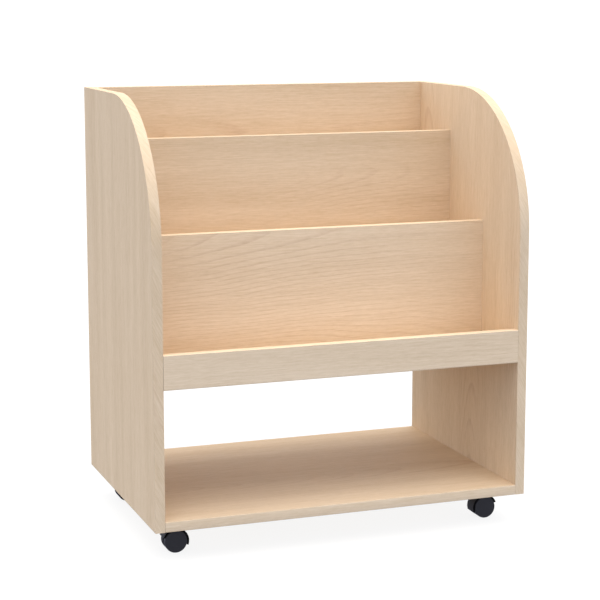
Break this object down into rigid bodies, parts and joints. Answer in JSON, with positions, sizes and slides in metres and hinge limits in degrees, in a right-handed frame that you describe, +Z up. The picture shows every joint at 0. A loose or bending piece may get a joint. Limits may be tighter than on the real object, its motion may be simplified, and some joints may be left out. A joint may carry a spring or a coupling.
{
  "type": "mobile bookcase",
  "caption": "Low bookcase on swivelling twin-wheel casters, with round-cornered sides, an open lower compartment and stepped display pockets for face-out books.",
  "frame": {"origin": "on the floor, under the middle of the case's footprint", "axes": "+X to the viewer's right seen from the front, +Y towards the back, +Z up"},
  "size_m": [0.7, 0.47, 0.79],
  "materials": {
    "maple_board": "satin maple decor laminate with matching edge bands",
    "beech_dowel": "raw beech",
    "zinc_steel": "bright zinc plated",
    "hood_plastic": "black nylon",
    "wheel_plastic": "black nylon, slightly greyer than the hood"
  },
  "bodies": {
    "case": {"left_side_panel": "maple_board", "right_side_panel": "maple_board", "bottom_shelf": "maple_board", "middle_shelf": "maple_board", "front_rail": "maple_board", "middle_pocket_front": "maple_board", "middle_pocket_floor": "maple_board", "upper_pocket_front": "maple_board", "upper_pocket_floor": "maple_board", "back_panel": "maple_board", "bottom_shelf_left_front_dowel": "beech_dowel", "bottom_shelf_left_rear_dowel": "beech_dowel", "bottom_shelf_right_front_dowel": "beech_dowel", "bottom_shelf_right_rear_dowel": "beech_dowel", "middle_shelf_left_front_dowel": "beech_dowel", "middle_shelf_left_rear_dowel": "beech_dowel", "middle_shelf_right_front_dowel": "beech_dowel", "middle_shelf_right_rear_dowel": "beech_dowel", "front_left_caster_plate": "zinc_steel", "front_left_caster_kingpin": "zinc_steel", "front_left_caster_screw_1": "zinc_steel", "front_left_caster_screw_2": "zinc_steel", "front_left_caster_screw_3": "zinc_steel", "front_left_caster_screw_4": "zinc_steel", "front_right_caster_plate": "zinc_steel", "front_right_caster_kingpin": "zinc_steel", "front_right_caster_screw_1": "zinc_steel", "front_right_caster_screw_2": "zinc_steel", "front_right_caster_screw_3": "zinc_steel", "front_right_caster_screw_4": "zinc_steel", "rear_left_caster_plate": "zinc_steel", "rear_left_caster_kingpin": "zinc_steel", "rear_left_caster_screw_1": "zinc_steel", "rear_left_caster_screw_2": "zinc_steel", "rear_left_caster_screw_3": "zinc_steel", "rear_left_caster_screw_4": "zinc_steel", "rear_right_caster_plate": "zinc_steel", "rear_right_caster_kingpin": "zinc_steel", "rear_right_caster_screw_1": "zinc_steel", "rear_right_caster_screw_2": "zinc_steel", "rear_right_caster_screw_3": "zinc_steel", "rear_right_caster_screw_4": "zinc_steel"},
    "front_left_caster": {"front_left_caster_hood": "hood_plastic", "front_left_caster_axle": "zinc_steel"},
    "front_left_wheel_1": {"front_left_caster_wheel_1": "wheel_plastic"},
    "front_left_wheel_2": {"front_left_caster_wheel_2": "wheel_plastic"},
    "front_right_caster": {"front_right_caster_hood": "hood_plastic", "front_right_caster_axle": "zinc_steel"},
    "front_right_wheel_1": {"front_right_caster_wheel_1": "wheel_plastic"},
    "front_right_wheel_2": {"front_right_caster_wheel_2": "wheel_plastic"},
    "rear_left_caster": {"rear_left_caster_hood": "hood_plastic", "rear_left_caster_axle": "zinc_steel"},
    "rear_left_wheel_1": {"rear_left_caster_wheel_1": "wheel_plastic"},
    "rear_left_wheel_2": {"rear_left_caster_wheel_2": "wheel_plastic"},
    "rear_right_caster": {"rear_right_caster_hood": "hood_plastic", "rear_right_caster_axle": "zinc_steel"},
    "rear_right_wheel_1": {"rear_right_caster_wheel_1": "wheel_plastic"},
    "rear_right_wheel_2": {"rear_right_caster_wheel_2": "wheel_plastic"}
  },
  "joints": [
    {"name": "front_left_swivel", "type": "hinge", "parent": "case", "child": "front_left_caster", "pos_m": [-0.282, -0.167, 0.045], "axis": [0, 0, 1], "continuous": true},
    {"name": "front_left_wheel_1_roll", "type": "hinge", "parent": "front_left_caster", "child": "front_left_wheel_1", "pos_m": [-0.298, -0.167, 0.02], "axis": [0, 1, 0], "continuous": true},
    {"name": "front_left_wheel_2_roll", "type": "hinge", "parent": "front_left_caster", "child": "front_left_wheel_2", "pos_m": [-0.298, -0.167, 0.02], "axis": [0, 1, 0], "continuous": true},
    {"name": "front_right_swivel", "type": "hinge", "parent": "case", "child": "front_right_caster", "pos_m": [0.282, -0.167, 0.045], "axis": [0, 0, 1], "continuous": true},
    {"name": "front_right_wheel_1_roll", "type": "hinge", "parent": "front_right_caster", "child": "front_right_wheel_1", "pos_m": [0.298, -0.167, 0.02], "axis": [0, 1, 0], "continuous": true},
    {"name": "front_right_wheel_2_roll", "type": "hinge", "parent": "front_right_caster", "child": "front_right_wheel_2", "pos_m": [0.298, -0.167, 0.02], "axis": [0, 1, 0], "continuous": true},
    {"name": "rear_left_swivel", "type": "hinge", "parent": "case", "child": "rear_left_caster", "pos_m": [-0.282, 0.167, 0.045], "axis": [0, 0, 1], "continuous": true},
    {"name": "rear_left_wheel_1_roll", "type": "hinge", "parent": "rear_left_caster", "child": "rear_left_wheel_1", "pos_m": [-0.298, 0.167, 0.02], "axis": [0, 1, 0], "continuous": true},
    {"name": "rear_left_wheel_2_roll", "type": "hinge", "parent": "rear_left_caster", "child": "rear_left_wheel_2", "pos_m": [-0.298, 0.167, 0.02], "axis": [0, 1, 0], "continuous": true},
    {"name": "rear_right_swivel", "type": "hinge", "parent": "case", "child": "rear_right_caster", "pos_m": [0.282, 0.167, 0.045], "axis": [0, 0, 1], "continuous": true},
    {"name": "rear_right_wheel_1_roll", "type": "hinge", "parent": "rear_right_caster", "child": "rear_right_wheel_1", "pos_m": [0.298, 0.167, 0.02], "axis": [0, 1, 0], "continuous": true},
    {"name": "rear_right_wheel_2_roll", "type": "hinge", "parent": "rear_right_caster", "child": "rear_right_wheel_2", "pos_m": [0.298, 0.167, 0.02], "axis": [0, 1, 0], "continuous": true}
  ]
}
